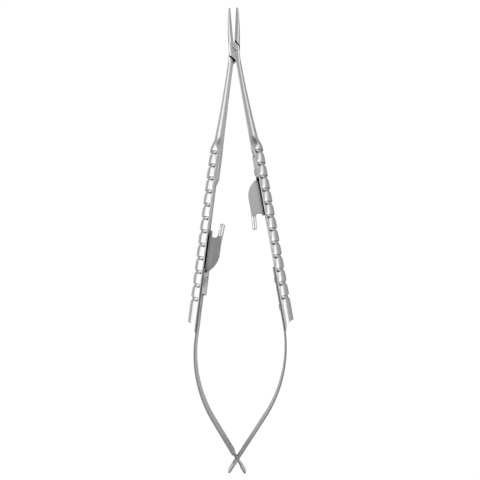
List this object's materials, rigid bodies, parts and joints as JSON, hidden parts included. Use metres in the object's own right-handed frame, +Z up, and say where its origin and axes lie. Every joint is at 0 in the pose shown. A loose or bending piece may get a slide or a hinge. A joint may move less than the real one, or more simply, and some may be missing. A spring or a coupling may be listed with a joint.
{
  "type": "surgical needle holder",
  "caption": "Slim spring-handled needle holder with narrow flat jaws, a lapped screw joint, ringed half-round grips, sheet-metal catches and crossed spring leaves.",
  "frame": {"origin": "centre of the bounding box's bottom face, on the table that the grips lie on", "axes": "+Y from the crossed leaves to the jaw tips, +X towards the right grip, +Z up from the table, out of the lapped joint's screw head"},
  "size_m": [0.04, 0.1808, 0.008],
  "materials": {
    "arm_steel": "satin",
    "leaf_steel": "brushed",
    "catch_steel": "satin",
    "screw_steel": "satin",
    "rivet_steel": "satin"
  },
  "bodies": {
    "lower_half": {"lower_arm": "arm_steel", "pivot_screw": "screw_steel", "left_leaf": "leaf_steel", "left_catch": "catch_steel", "left_catch_foot_rivet": "rivet_steel", "left_catch_web_rivet": "rivet_steel", "left_leaf_rivet": "rivet_steel"},
    "upper_half": {"upper_arm": "arm_steel", "right_leaf": "leaf_steel", "right_catch": "catch_steel", "right_catch_foot_rivet": "rivet_steel", "right_catch_web_rivet": "rivet_steel", "right_leaf_rivet_upper": "rivet_steel", "right_leaf_rivet_lower": "rivet_steel"}
  },
  "joints": [
    {"name": "jaw_pivot", "type": "hinge", "parent": "lower_half", "child": "upper_half", "pos_m": [0, 0.07189, 0.004], "axis": [0, 0, -1], "range_deg": [0, 7.2], "stiffness_Nm_per_rad": 2, "deforming": ["left_leaf", "right_leaf"]}
  ]
}
